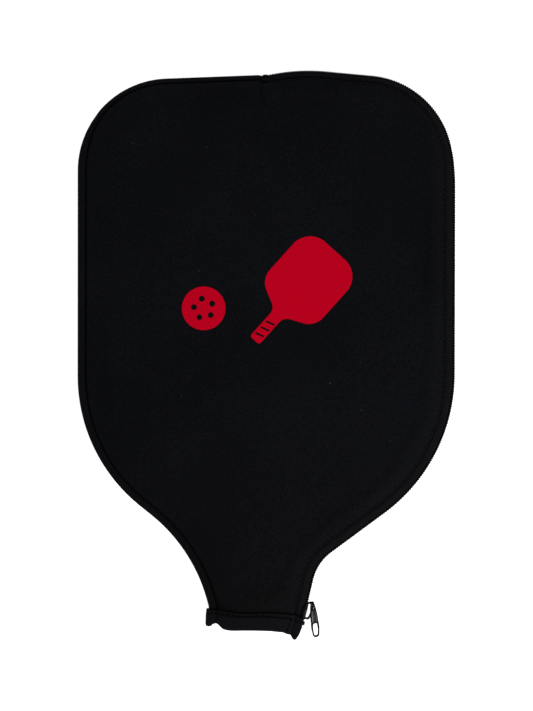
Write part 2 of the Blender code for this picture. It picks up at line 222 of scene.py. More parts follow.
def rounded_path(corners, closed=False, step=1.0):
    """The points of a line through corners (x, y, radius) with each corner rounded."""
    count = len(corners)
    points = []
    for index, (x, y, radius) in enumerate(corners):
        at = Vector((x, y))
        if radius == 0.0 or (not closed and index in (0, count - 1)):
            points.append(at)
            continue
        before = (Vector(corners[index - 1][:2]) - at).normalized()
        after = (Vector(corners[(index + 1) % count][:2]) - at).normalized()
        half = before.angle(after) / 2.0
        centre = at + (before + after).normalized() * radius / math.sin(half)
        start = at + before * radius / math.tan(half) - centre
        turn = math.pi - 2.0 * half
        if before.cross(after) > 0.0:
            turn = -turn
        pieces = max(2, round(abs(turn) * radius / step))
        for piece in range(pieces + 1):
            points.append(centre + Matrix.Rotation(turn * piece / pieces, 2) @ start)
    return points


def distances(points):
    total = [0.0]
    for before, after in zip(points, points[1:]):
        total.append(total[-1] + (after - before).length)
    return total


def resample(points, pieces, start=0.0, end=None):
    """Evenly spaced points along a line, between two distances from its first point."""
    total = distances(points)
    end = total[-1] if end is None else end
    found = []
    index = 1
    for piece in range(pieces + 1):
        wanted = blend(start, end, piece / pieces)
        while total[index] < wanted and index < len(points) - 1:
            index += 1
        share = (wanted - total[index - 1]) / (total[index] - total[index - 1])
        found.append(points[index - 1].lerp(points[index], share))
    return found


def nearest(points, target):
    return min(range(len(points)), key=lambda i: (points[i] - Vector(target[:2])).length)


def inward(points):
    """The unit vector at each point that looks into the cover, to the right of the line."""
    found = []
    for index in range(len(points)):
        ahead = points[min(index + 1, len(points) - 1)]
        along = (ahead - points[max(index - 1, 0)]).normalized()
        found.append(Vector((along.y, -along.x)))
    return found


def gap_to(line, x, y):
    """The distance from (x, y) to a line."""
    at = Vector((x, y))
    best = 1e9
    for before, after in zip(line, line[1:]):
        run = after - before
        share = min(max((at - before).dot(run) / run.length_squared, 0.0), 1.0)
        best = min(best, (at - before - run * share).length)
    return best


def outline_sides():
    """The outline in two lines that meet at the zip's start: the sewn side, then the zip."""
    line = rounded_path(OUTLINE)
    after = next(i for i, p in enumerate(line) if p.x >= ZIP_START_X and p.y > 0.0)
    before, ahead = line[after - 1], line[after]
    meeting = before.lerp(ahead, (ZIP_START_X - before.x) / (ahead.x - before.x))
    return line[:after] + [meeting], [meeting] + line[after:]


SEWN, ZIPPED = outline_sides()
SEWN_LENGTH = distances(SEWN)[-1]
ZIP_LENGTH = distances(ZIPPED)[-1]


# ---------------------------------------------------------------- the panels' form

def above_mouth(x, y):
    share = (x - MOUTH_LEFT[0]) / (MOUTH_RIGHT[0] - MOUTH_LEFT[0])
    return y - blend(MOUTH_LEFT[1], MOUTH_RIGHT[1], share)


def tuck(x, y):
    """1 where the binding presses the panels together, 0 above it."""
    return smooth((17.0 - above_mouth(x, y)) / 3.5)


def flange(x, y):
    """The width of the flat strip outside the topstitching, narrower along the top."""
    return blend(FLANGE_WIDTH, FLANGE_WIDTH_TOP, smooth((y - 112.0) / 34.0))


def ring_inset(x, y, share, zipped):
    """How far inside the outline a ring lies, from its share of the way to the crown."""
    first = 0.0
    second = flange(x, y)
    if zipped:
        first = STRIP_WIDTH
        second = STRIP_WIDTH + 3.4
    if share <= 0.5:
        return blend(first, second, share / 0.5)
    return blend(second, SHOULDER_WIDTH, (share - 0.5) / 0.5)


def rise(x, y, inset, zipped):
    """How far the pillow shape has risen from its edge to its crown."""
    flat = STRIP_WIDTH if zipped else flange(x, y)
    part = min(max((inset - flat) / (SHOULDER_WIDTH - flat), 0.0), 1.0)
    return 1.0 - (1.0 - part) ** SHOULDER_POWER


def relief(x, y, inset, zipped):
    """What sewing and handling press into a panel: the seam's groove and a soft valley."""
    groove = 0.0
    if not zipped:
        groove = GROOVE_DEPTH * math.exp(-(((inset - flange(x, y)) / GROOVE_WIDTH) ** 2))
    beside = max(0.0, 1.0 - ((inset - 14.0) / 7.5) ** 2) ** 2
    reach = smooth((y + 60.0) / 40.0) * smooth((125.0 - y) / 40.0)
    valley = 0.0 if zipped else VALLEY_DEPTH * beside * reach
    return groove + valley


def unevenness(x, y):
    """Soft, wide waves in the foam, gone at its edges."""
    wave = math.sin(x / 19.0 + 0.6) * math.sin(y / 31.0 + 1.2)
    return 0.28 * wave + 0.16 * math.sin(x / 11.0 - y / 17.0)


def front_height(x, y, inset, zipped):
    if zipped:
        low = SEAM_Z + STRIP_LIFT - 0.6
        edge = low + (PANEL_THICK + 0.5) * quarter((inset - STRIP_WIDTH) / 1.6)
    else:
        edge = SEAM_Z + SEAM_GAP + PANEL_THICK * quarter(inset / 2.6)
    crown = blend(CROWN_NECK, CROWN_BODY, smooth((y - NECK_LOW_Y) / (NECK_TOP_Y - NECK_LOW_Y)))
    risen = rise(x, y, inset, zipped)
    body = smooth((above_mouth(x, y) - 18.0) / 20.0)
    crown += unevenness(x, y) * body - HEM_TUCK * tuck(x, y)
    return blend(edge, crown, risen) - relief(x, y, inset, zipped)


def back_height(x, y, inset, zipped):
    if zipped:
        high = SEAM_Z - STRIP_LIFT + 0.6
        edge = high - (PANEL_THICK + 0.5) * quarter((inset - STRIP_WIDTH) / 1.6)
    else:
        edge = SEAM_Z - SEAM_GAP - PANEL_THICK * quarter(inset / 2.6)
    groove = 0.0 if zipped else relief(x, y, inset, zipped) * (1.0 - rise(x, y, inset, zipped))
    low = edge * (1.0 - rise(x, y, inset, zipped)) + groove
    return max(low, HEM_TUCK * tuck(x, y))


def hem_shift(x, y):
    """How much higher than the straight cut the panel's end sits, faded out above it."""
    across = smooth((x + 36.0) / 12.0) * smooth((17.0 - x) / 12.0)
    return HEM_RISE * across * smooth(1.0 - above_mouth(x, y) / 20.0)


def panel_points(height, side_steps, top_steps, shares, coarser):
    """Rings of points inside the outline, and the patch that the last ring encloses."""
    first, last = nearest(SEWN, TOP_LEFT), nearest(ZIPPED, TOP_RIGHT)
    sewn_top = top_steps // 2
    edge = resample(SEWN[: first + 1], side_steps)
    reach = distances(SEWN[first:])[-1] - SEAM_END
    edge += resample(SEWN[first:], sewn_top, 0.0, reach)[1:]
    sewn_count = len(edge)
    edge += resample(ZIPPED[: last + 1], top_steps - sewn_top - 1)
    edge += resample(ZIPPED[last:], side_steps)[1:]
    looks = inward(edge)

    def place(x, y, inset, zipped):
        z = height(x, y, inset, zipped)
        return Vector((x, y + hem_shift(x, y), z)), inset - zipped * STRIP_WIDTH

    rings = []
    flat = []
    for share in shares:
        ring = []
        for index, (point, look) in enumerate(zip(edge, looks)):
            zipped = index >= sewn_count
            inset = ring_inset(point.x, point.y, share, zipped)
            x, y = point + look * inset
            ring.append(place(x, y, inset, zipped))
            if share == 1.0 and index % coarser == 0:
                flat.append(Vector((x, y)))
        rings.append(ring)
    sides, tops = side_steps // coarser, top_steps // coarser
    left, top = flat[: sides + 1], flat[sides : sides + tops + 1]
    right = flat[: sides + tops - 1 : -1]
    patch = []
    for row in range(sides + 1):
        v = row / sides
        low_left, low_right = left[0], right[0]
        line = []
        for column in range(tops + 1):
            u = column / tops
            low = low_left.lerp(low_right, u)
            across = left[row].lerp(right[row], u)
            along = low.lerp(top[column], v)
            corners = low.lerp(left[-1].lerp(right[-1], u), v)
            x, y = across + along - corners
            line.append(place(x, y, SHOULDER_WIDTH, False))
        patch.append(line)
    return rings, patch


def panel_skin(name, height, side_steps, top_steps, shares, coarser=1, upward=True):
    """A panel's outer skin, with vertex groups for its thickness and for what holds it."""
    rings, patch = panel_points(height, side_steps, top_steps, shares, coarser)
    mesh = bmesh.new()
    groups = mesh.verts.layers.deform.verify()

    def vertex(found):
        point, inset = found
        made = mesh.verts.new(point * MM)
        made[groups][0] = min(1.0, max(0.06, inset / 2.8))
        held = 1.0 - smooth((inset - 6.0) / 6.0)
        made[groups][1] = max(held, tuck(point.x, point.y - 3.0))
        return made

    rows = [[vertex(found) for found in ring] for ring in rings[:-1]]
    inner = [vertex(found) for found in rings[-1][::coarser]]
    for low, high in zip(rows, rows[1:]):
        for i in range(len(low) - 1):
            mesh.faces.new((low[i], low[i + 1], high[i + 1], high[i]))
    for i in range(len(inner) - 1):
        below = rows[-1][i * coarser : (i + 1) * coarser + 1]
        mesh.faces.new((*below, inner[i + 1], inner[i]))
    rows = [[vertex(found) for found in line] for line in patch]
    for low, high in zip(rows, rows[1:]):
        for i in range(len(low) - 1):
            mesh.faces.new((low[i], low[i + 1], high[i + 1], high[i]))
    bmesh.ops.remove_doubles(mesh, verts=mesh.verts, dist=0.00002)
    bmesh.ops.recalc_face_normals(mesh, faces=mesh.faces)
    if (sum(face.normal.z for face in mesh.faces) > 0.0) != upward:
        bmesh.ops.reverse_faces(mesh, faces=mesh.faces)
    item = add(name, to_mesh(name, mesh))
    item.vertex_groups.new(name="thickness")
    item.vertex_groups.new(name="held")
    return item


# ---------------------------------------------------------------- meshes and objects

def to_mesh(name, mesh):
    data = bpy.data.meshes.new(name)
    mesh.to_mesh(data)
    mesh.free()
    return data


def add(name, data):
    item = bpy.data.objects.new(name, data)
    bpy.context.scene.collection.objects.link(item)
    return item


def shade(item, surface, angle=None):
    item.data.materials.clear()
    item.data.materials.append(surface)
    item.data.shade_smooth()
    if angle:
        item.data.set_sharp_from_angle(angle=math.radians(angle))
    return item


def modify(item, kind, **settings):
    modifier = item.modifiers.new(kind.title(), kind)
    for name, value in settings.items():
        setattr(modifier, name, value)
    return modifier


def apply_modifiers(item):
    """Turns the item's modifiers into its mesh."""
    shown = item.evaluated_get(bpy.context.evaluated_depsgraph_get())
    data = bpy.data.meshes.new_from_object(shown)
    old = item.data
    item.modifiers.clear()
    item.data = data
    bpy.data.meshes.remove(old)
    data.name = item.name
    return item


def grid_piece(name, rows, closed=False, sizes=None):
    """A sheet through rows of points, with a UV map in metres along and across it."""
    mesh = bmesh.new()
    uv = mesh.loops.layers.uv.new("Along")
    verts = [[mesh.verts.new(Vector(point) * MM) for point in row] for row in rows]
    along = distances([Vector(row[0]) for row in rows])
    across = distances([Vector(point) for point in rows[len(rows) // 2]])
    count = len(rows[0])
    for i in range(len(rows) - 1):
        for j in range(count if closed else count - 1):
            k = (j + 1) % count
            face = mesh.faces.new((verts[i][j], verts[i][k], verts[i + 1][k], verts[i + 1][j]))
            wide = across[-1] / (count - 1) if closed else 0.0
            places = []
            for a, b in ((i, j), (i, j + 1), (i + 1, j + 1), (i + 1, j)):
                places.append((along[a], b * wide if closed else across[b]))
            for loop, (u, v) in zip(face.loops, places):
                loop[uv].uv = (u * MM, v * MM)
    if closed:
        mesh.faces.new(reversed(verts[0]))
        mesh.faces.new(verts[-1])
    bmesh.ops.recalc_face_normals(mesh, faces=mesh.faces)
    return add(name, to_mesh(name, mesh))


def face_up(item, upward=True):
    """Turns an open sheet's faces towards +Z, or away from it."""
    lean = sum(face.normal.z * face.area for face in item.data.polygons)
    if (lean > 0.0) != upward:
        item.data.flip_normals()


def tube_rows(points, radius, sides=6, taper=False):
    """Rings of points round a line in space, for a thread, a filament or a wire."""
    rows = []
    last = len(points) - 1
    side = None
    for i, point in enumerate(points):
        along = (points[min(i + 1, last)] - points[max(i - 1, 0)]).normalized()
        if side is None:
            side = along.orthogonal().normalized()
        side = (side - along * side.dot(along)).normalized()
        other = along.cross(side)
        near = min(i, last - i)
        wide = radius * (0.45 if taper and near == 0 else 1.0)
        ring = []
        for k in range(sides):
            angle = 2.0 * math.pi * k / sides
            ring.append(point + (side * math.cos(angle) + other * math.sin(angle)) * wide)
        rows.append(ring)
    return rows


def tubes(name, lines, radius, sides=6, taper=True):
    """One mesh of a tube along each line."""
    mesh = bmesh.new()
    for line in lines:
        verts = []
        for row in tube_rows(line, radius, sides, taper):
            verts.append([mesh.verts.new(point * MM) for point in row])
        for low, high in zip(verts, verts[1:]):
            for k in range(sides):
                j = (k + 1) % sides
                mesh.faces.new((low[k], low[j], high[j], high[k]))
        mesh.faces.new(reversed(verts[0]))
        mesh.faces.new(verts[-1])
    bmesh.ops.recalc_face_normals(mesh, faces=mesh.faces)
    return add(name, to_mesh(name, mesh))


def dash(start, end, up, sink=0.45, bulge=0.16):
    """A stitch's line: it comes out of the cloth, lies on it and goes back in."""
    found = []
    for share, lift in ((0.0, -sink), (0.1, 0.02), (0.3, bulge), (0.7, bulge), (0.9, 0.02), (1.0, -sink)):
        found.append(start.lerp(end, share) + up * lift)
    return found


# ---------------------------------------------------------------- panels

def settling(height, name):
    """Lets a thin sheet of the front's form fall for a few frames, held at its edges.

    Returns a function that gives how far it sank at (x, y). The sheet falls further than SINK_CAP
    over most of its middle, so the cap sets the depth there."""
    skin = panel_skin(name, height, 54, 32, (0.0, 0.25, 0.5, 0.7, 0.85, 1.0))
    rest = BVHTree.FromPolygons(
        [v.co.copy() for v in skin.data.vertices], [p.vertices[:] for p in skin.data.polygons]
    )
    cloth = skin.modifiers.new("Cloth", "CLOTH")
    cloth.settings.quality = 6
    cloth.settings.mass = 0.15
    cloth.settings.tension_stiffness = 40.0
    cloth.settings.compression_stiffness = 40.0
    cloth.settings.shear_stiffness = 20.0
    cloth.settings.bending_stiffness = 12.0
    cloth.settings.vertex_group_mass = "held"
    cloth.settings.effector_weights.gravity = 0.5
    cloth.settings.shrink_min = -0.006
    scene = bpy.context.scene
    for number in range(1, FALL_FRAMES + 1):
        scene.frame_set(number)
    shown = skin.evaluated_get(bpy.context.evaluated_depsgraph_get())
    data = bpy.data.meshes.new_from_object(shown)
    moved = BVHTree.FromPolygons(
        [v.co.copy() for v in data.vertices], [p.vertices[:] for p in data.polygons]
    )
    bpy.data.meshes.remove(data)
    bpy.data.objects.remove(skin, do_unlink=True)
    scene.frame_set(1)
    down = Vector((0.0, 0.0, -1.0))

    def sink(x, y):
        above = Vector((x, y, 60.0)) * MM
        before, after = rest.ray_cast(above, down)[0], moved.ray_cast(above, down)[0]
        if before is None or after is None:
            return 0.0
        return min(max((after.z - before.z) / MM, -SINK_CAP), SINK_CAP)

    return sink


def build_panels(cloth):
    """The front and back panels, each one sheet of foam rubber with a real thickness."""
    front = panel_skin("front_cover_panel", front_height, SIDE_STEPS, TOP_STEPS, RINGS, 2)
    sink = settling(front_height, "settling_sheet")
    free = front.vertex_groups["held"].index
    for vertex in front.data.vertices:
        held = next((g.weight for g in vertex.groups if g.group == free), 0.0)
        x, y = vertex.co.x / MM, vertex.co.y / MM
        vertex.co.z += sink(x, y) * (1.0 - held) * MM
    back = panel_skin("back_cover_panel", back_height, SIDE_STEPS, TOP_STEPS, RINGS, 2, False)
    for item in (front, back):
        modify(
            item,
            "SOLIDIFY",
            thickness=PANEL_THICK * MM,
            offset=-1.0,
            vertex_group="thickness",
            thickness_vertex_group=0.05,
        )
        apply_modifiers(item)
        item.vertex_groups.clear()
        shade(item, cloth)
    return front, back


# ---------------------------------------------------------------- zip

def zip_distance(y):
    """How far along the zip its straight neck stretch reaches height y."""
    low, before = ZIPPED[-1], ZIPPED[-2]
    return ZIP_LENGTH - (y - low.y) / (before - low).normalized().y


def zip_tuck(y):
    """How far the zip is drawn in along the top, where the panels roll over it."""
    return ZIP_TUCK * smooth((y - 98.0) / 24.0)


def build_tape(name, side, surface):
    """Woven tape that leaves the panel's edge and turns down behind the coil."""
    corners = (
        (12.5, TAPE_DIP, 0.0),
        (STRIP_WIDTH + 0.5, TAPE_DIP, 0.3),
        (STRIP_WIDTH - 0.5, TAPE_TOP, 0.4),
        (TAPE_EDGE, TAPE_TOP, 0.9),
        (TAPE_EDGE, 0.45, 0.0),
    )
    section = rounded_path(corners, step=0.3)
    section = [section[0], section[0].lerp(section[1], 0.5)] + section[1:]
    line = resample(ZIPPED, 300, 0.2)
    rows = []
    for point, look in zip(line, inward(line)):
        row = []
        for inset, lift in section:
            drawn = zip_tuck(point.y) * smooth(1.0 - inset / STRIP_WIDTH)
            x, y = point + look * (inset + drawn)
            row.append(Vector((x, y, SEAM_Z + side * lift)))
        rows.append(row)
    item = grid_piece(name, rows)
    face_up(item, side > 0)
    modify(item, "SOLIDIFY", thickness=TAPE_THICK * MM, offset=0.0)
    apply_modifiers(item)
    shade(item, surface, 60)
    return item


def coil_line(side, start, end, turn_points=10):
    """The filament's path: flattened turns laid against the tape's edge."""
    pieces = round((end - start) / COIL_PITCH * turn_points)
    line = resample(ZIPPED, pieces, start, end)
    found = []
    for i, (point, look) in enumerate(zip(line, inward(line))):
        angle = 2.0 * math.pi * i / turn_points + (math.pi if side < 0 else 0.0)
        inset = COIL_INSET + zip_tuck(point.y) - COIL_DEPTH * math.cos(angle)
        x, y = point + look * inset
        z = SEAM_Z + side * (COIL_RISE - 0.22 + COIL_RISE * math.sin(angle))
        found.append(Vector((x, y, z)))
    return found


# ---------------------------------------------------------------- stitching

def edge_stitches(name, line, height, zipped, surface, pitch, start, end, side=1.0):
    """Topstitching that follows the outline, one thread dash for each stitch."""
    count = int((end - start) / pitch)
    points = resample(line, count * 4, start, start + count * pitch)
    looks = inward(points)
    placed = []
    for point, look in zip(points, looks):
        inset = STRIP_WIDTH + 1.2 if zipped else flange(point.x, point.y) + 0.1
        x, y = point + look * inset
        placed.append(Vector((x, y + hem_shift(x, y), height(x, y, inset, zipped))))
    up = Vector((0.0, 0.0, side))
    lines = []
    for i in range(count):
        lines.append(dash(placed[4 * i], placed[4 * i + 3], up))
    return shade(tubes(name, lines, STITCH, 6), surface)


# ---------------------------------------------------------------- hem

SEWN_END = [p for p in SEWN if p.y < -90.0 and p.x < 0.0]
ZIP_END = [p for p in ZIPPED if p.y < -90.0 and p.x > 0.0]


def hem_level(height, side, x, y):
    """The panel's height under the binding, which also passes over the zip's end."""
    sewn, zipped = gap_to(SEWN_END, x, y), gap_to(ZIP_END, x, y)
    if sewn < zipped:
        return height(x, y, sewn, False)
    over = SEAM_Z + side * (0.4 + 3.6 * quarter(zipped / 1.5))
    panel = height(x, y, max(zipped, STRIP_WIDTH), True)
    return blend(over, panel, smooth((zipped - 3.6) / 2.6))


def hem_frame(height, side, x, y):
    """A point on the panel at the hem and the direction out of it."""
    step = 0.15
    before, after = (hem_level(height, side, at, y) for at in (x - step, x + step))
    slope = (after - before) / (2.0 * step)
    out = Vector((-slope, 0.0, 1.0)).normalized() * side
    return Vector((x, y, hem_level(height, side, x, y))), out


def build_binding(name, height, side, low_edge, surface):
    """Twill binding folded over the panel's end: outer leg, fold and inner leg."""
    middle = -PANEL_THICK / 2.0
    reach = HEM_OFF + PANEL_THICK / 2.0
    profile = [(share, 0.0, HEM_OFF) for share in HEM_SHARES]
    for angle in range(0, 181, 30):
        turn = math.radians(angle)
        profile.append((0.0, 1.5 - 1.5 * math.sin(turn), middle + reach * math.cos(turn)))
    profile += [(0.0, 3.5, -PANEL_THICK - HEM_OFF), (0.0, 6.5, -PANEL_THICK - HEM_OFF)]
    rows = []
    for share, lift, level in profile:
        row = []
        for column in range(HEM_COLUMNS + 1):
            t = column / HEM_COLUMNS
            x = blend(*HEM_ENDS, t)
            low = through(low_edge, x)
            y = blend(low, through(HEM_TOP, x), share) + lift * (1.0 - share)
            left = edge_x(SEWN_END, y) + 0.02
            right = edge_x(ZIP_END, y) - 0.02
            x = blend(left, right, hem_spread(t))
            at, out = hem_frame(height, side, x, y)
            at.x -= HEM_OVER * smooth(1.0 - 9.0 * t)
            row.append(at + out * (level + 0.1 * math.sin(x * 1.7 + y) * (share > 0.0)))
        rows.append(row)
    item = grid_piece(name, rows)
    face_up(item, side > 0)
    modify(item, "SOLIDIFY", thickness=HEM_THICK * MM, offset=0.0)
    modify(item, "SUBSURF", levels=1, render_levels=1)
    apply_modifiers(item)
    shade(item, surface)
    return item


def hem_spread(t):
    """Spreads columns along the hem, closer together towards both ends."""
    return blend(t, 0.5 - 0.5 * math.cos(math.pi * t), 0.6)


def edge_x(line, y):
    """Where a neck side crosses height y, carried on straight below its end."""
    for before, after in zip(line, line[1:]):
        low, high = sorted((before, after), key=lambda p: p.y)
        if low.y <= y <= high.y:
            return blend(low.x, high.x, (y - low.y) / (high.y - low.y))
    low, high = line[0], line[1]
    if line[0].y > line[-1].y:
        low, high = line[-1], line[-2]
    return low.x + (high.x - low.x) * (y - low.y) / (high.y - low.y)


def hem_stitches(name, surface):
    """Dashes along the binding's top."""
    lines = []
    x = -33.0
    while x < 12.0:
        ends = []
        for end in (x, x + HEM_PITCH * 0.72):
            y = through(HEM_TOP, end) - 2.0
            at, out = hem_frame(front_height, 1.0, end, y)
            ends.append(at + out * (HEM_OFF + HEM_THICK / 2))
        lines.append(dash(ends[0], ends[1], out, 0.4, 0.12))
        x += HEM_PITCH
    return shade(tubes(name, lines, HEM_STITCH, 6), surface)


def hem_tack(name, surface):
    lines = []
    for x, y in ((14.0, -150.9), (13.0, -153.6), (12.0, -156.3)):
        ends = []
        for share in (0.0, 1.0):
            end = Vector((x, y)) + Vector((-0.75, -2.1)) * share
            at, out = hem_frame(front_height, 1.0, end.x, end.y)
            ends.append(at + out * (HEM_OFF + HEM_THICK / 2))
        lines.append(dash(ends[0], ends[1], out, 0.4, 0.16))
    return shade(tubes(name, lines, HEM_STITCH, 6), surface)


# ---------------------------------------------------------------- sign

def circle(x, y, radius, pieces):
    turn = 2.0 * math.pi / pieces
    return [
        Vector((x + radius * math.cos(i * turn), y + radius * math.sin(i * turn)))
        for i in range(pieces)
    ]


def film(name, loops, place, tree, surface):
    """A thin printed film cut to outlines and laid on the panel."""
    mesh = bmesh.new()
    for loop in loops:
        verts = [mesh.verts.new((place @ Vector((p.x, p.y, 0.0))) * MM) for p in loop]
        for before, after in zip(verts, verts[1:] + verts[:1]):
            mesh.edges.new((before, after))
    bmesh.ops.triangle_fill(mesh, edges=mesh.edges, use_beauty=True, normal=(0.0, 0.0, 1.0))
    for axis in (0, 1):
        for step in range(-24, 30):
            at = Vector((0.0, 0.0, 0.0))
            at[axis] = step * 3.0 * MM
            normal = Vector((0.0, 0.0, 0.0))
            normal[axis] = 1.0
            parts = mesh.verts[:] + mesh.edges[:] + mesh.faces[:]
            bmesh.ops.bisect_plane(mesh, geom=parts, dist=1e-7, plane_co=at, plane_no=normal)
    for vertex in mesh.verts:
        above = Vector((vertex.co.x, vertex.co.y, 60.0 * MM))
        hit = tree.ray_cast(above, Vector((0.0, 0.0, -1.0)))[0]
        vertex.co.z = hit.z + 0.16 * MM
    item = add(name, to_mesh(name, mesh))
    face_up(item)
    modify(item, "SOLIDIFY", thickness=0.22 * MM, offset=0.0)
    apply_modifiers(item)
    return shade(item, surface, 40)


def build_sign(panel, surface):
    tree = BVHTree.FromPolygons(
        [v.co.copy() for v in panel.data.vertices], [p.vertices[:] for p in panel.data.polygons]
    )
    holes = [circle(5.6 * math.cos(a), 5.6 * math.sin(a), 1.7, 20) for a in (0.5, 1.757, 3.014, 4.27, 5.527)]
    place = Matrix.Translation((-36.0, 27.0, 0.0))
    ball = film("ball_sign", [circle(0.0, 0.0, 12.5, 64)] + holes, place, tree, surface)
    face = (
        (-3.6, -20.0, 1.5),
        (3.6, -20.0, 1.5),
        (3.6, 1.0, 6.0),
        (20.5, 9.0, 11.0),
        (20.5, 49.0, 13.0),
        (-20.5, 49.0, 13.0),
        (-20.5, 9.0, 11.0),
        (-3.6, 1.0, 6.0),
    )
    grip_lines = [
        rounded_path(((-2.6, y, 0.3), (2.6, y + 1.6, 0.3), (2.6, y + 2.8, 0.3), (-2.6, y + 1.2, 0.3)), True)
        for y in (-17.0, -12.5, -8.0)
    ]
    place = Matrix.Translation((6.5, 23.5, 0.0)) @ Matrix.Rotation(math.radians(-42.0), 4, "Z")
    paddle = film("paddle_sign", [rounded_path(face, True, 1.0)] + grip_lines, place, tree, surface)
    return ball, paddle


# ---------------------------------------------------------------- slider and pull

def slider_place():
    """Puts +X outward, +Y up the zip and +Z across it, with the slider's centre at 0."""
    along = (ZIPPED[-2] - ZIPPED[-1]).normalized()
    share = (SLIDER_Y - ZIPPED[-1].y) / along.y
    outward = Vector((along.y, -along.x))
    centre = ZIPPED[-1] + along * share - outward * COIL_RADIUS
    turn = Matrix.Rotation(-math.atan2(along.x, along.y), 4, "Z")
    return Matrix.Translation((centre.x, centre.y, SEAM_Z)) @ turn


def slab_mesh(mesh, loops, low, high, place):
    """Adds a flat plate with holes to a mesh, between two heights above its plane."""
    plate = bmesh.new()
    for loop in loops:
        verts = [plate.verts.new((p.x, p.y, low)) for p in loop]
        for before, after in zip(verts, verts[1:] + verts[:1]):
            plate.edges.new((before, after))
    bmesh.ops.triangle_fill(plate, edges=plate.edges, use_beauty=True, normal=(0.0, 0.0, 1.0))
    grown = bmesh.ops.extrude_face_region(plate, geom=plate.faces[:])
    moved = [v for v in grown["geom"] if isinstance(v, bmesh.types.BMVert)]
    bmesh.ops.translate(plate, vec=(0.0, 0.0, high - low), verts=moved)
    bmesh.ops.recalc_face_normals(plate, faces=plate.faces)
    bmesh.ops.transform(plate, matrix=Matrix.Scale(MM, 4) @ place, verts=plate.verts)
    data = to_mesh("part", plate)
    mesh.from_mesh(data)
    bpy.data.meshes.remove(data)


def slab_piece(name, plates, bevel, surface):
    mesh = bmesh.new()
    for loops, low, high, place in plates:
        slab_mesh(mesh, loops, low, high, place)
    item = add(name, to_mesh(name, mesh))
    modify(
        item,
        "BEVEL",
        width=bevel * MM,
        segments=3,
        harden_normals=True,
        limit_method="ANGLE",
        angle_limit=math.radians(50.0),
    )
    apply_modifiers(item)
    return shade(item, surface, 35)


def build_slider(place, metal):
    """A coil zip's slider: two plates with turned cheeks, joined by a wedge."""
    across = Matrix(((0, 0, 1, 0), (0, 1, 0, 0), (1, 0, 0, 0), (0, 0, 0, 1)))
    plate = (
        (-2.4, -5.2, 1.0),
        (2.4, -5.2, 1.0),
        (3.1, -1.5, 1.5),
        (3.7, 2.4, 1.2),
        (2.2, 5.2, 1.4),
        (-2.2, 5.2, 1.4),
        (-3.7, 2.4, 1.2),
        (-3.1, -1.5, 1.5),
    )
    cheek = ((-0.2, -4.7, 0.5), (2.0, -5.0, 0.4), (2.2, 2.6, 0.6), (1.6, 3.6, 0.5), (-0.2, 2.8, 0.7))
    inner = ((-1.4, -4.9, 0.4), (1.4, -4.9, 0.4), (1.4, 4.9, 0.6), (-1.4, 4.9, 0.6))
    wedge = ((-2.9, 3.2, 0.3), (1.9, 3.2, 0.3), (1.9, 4.8, 0.4), (-2.9, 4.8, 0.4))
    plates = [
        ([rounded_path(plate, True, 0.3)], 1.55, 2.5, place @ across),
        ([rounded_path(inner, True, 0.3)], -3.5, -2.7, place @ across),
        ([rounded_path(cheek, True, 0.3)], 2.95, 3.55, place),
        ([rounded_path(cheek, True, 0.3)], -3.55, -2.95, place),
        ([rounded_path(wedge, True, 0.3)], -0.35, 0.35, place),
    ]
    return slab_piece("slider_shell", plates, 0.22, metal)


def build_bail(place, metal):
    """The bridge that holds the pull, a bent strap standing on the outer plate."""
    path = rounded_path(
        (
            (2.3, -4.4, 0.0),
            (4.3, -4.3, 0.6),
            (5.1, -1.8, 2.0),
            (5.4, 4.0, 0.9),
            (4.4, 5.3, 0.7),
            (2.3, 4.5, 0.0),
        ),
        step=0.25,
    )
    looks = inward(path)
    rows = []
    for point, look in zip(path, looks):
        row = []
        for wide, off in BAIL_SECTION:
            x, y = point + look * off
            row.append(place @ Vector((x, y, wide)))
        rows.append(row)
    return shade(grid_piece("slider_bridge", rows, closed=True), metal, 40)


def build_pull(place, metal, worn):
    """The pull: a flat drop-shaped plate with a window round the bridge and a hole."""
    down = Vector((math.sin(PULL_SWING), -math.cos(PULL_SWING), 0.0)) * math.cos(PULL_TILT)
    down.z = -math.sin(PULL_TILT)
    across = Vector((math.cos(PULL_SWING), math.sin(PULL_SWING), 0.0))
    normal = across.cross(down)
    wide = across * math.sin(PULL_TWIST) + normal * math.cos(PULL_TWIST)
    turn = Matrix((wide, down, wide.cross(down))).transposed().to_4x4()
    turn = place @ Matrix.Translation(PULL_TOP) @ turn
    half = ((0.95, 0.0, 0.6), (1.8, 4.0, 3.0), (2.4, 8.0, 6.0), (2.75, 16.0, 5.0), (2.0, 21.5, 1.9))
    body = mirrored(half)
    window = mirrored(((0.42, 0.8, 0.3), (0.95, 4.6, 0.5)))
    hole = mirrored(((1.5, 13.3, 1.0), (1.75, 17.0, 2.0), (1.25, 20.3, 1.1)))
    face = mirrored(((1.25, 5.2, 0.4), (1.8, 8.5, 3.0), (2.0, 12.6, 0.4)))
    plate = slab_piece("pull_plate", [([body, window, hole], -0.42, 0.42, turn)], 0.2, metal)
    inlay = slab_piece("pull_inlay", [([face], -0.5, 0.5, turn)], 0.08, worn)
    return plate, inlay


def mirrored(half):
    """A rounded outline from one side's corners (x, y, radius), alike on both sides."""
    corners = list(half) + [(-x, y, radius) for x, y, radius in reversed(half)]
    return rounded_path(corners, True, 0.3)


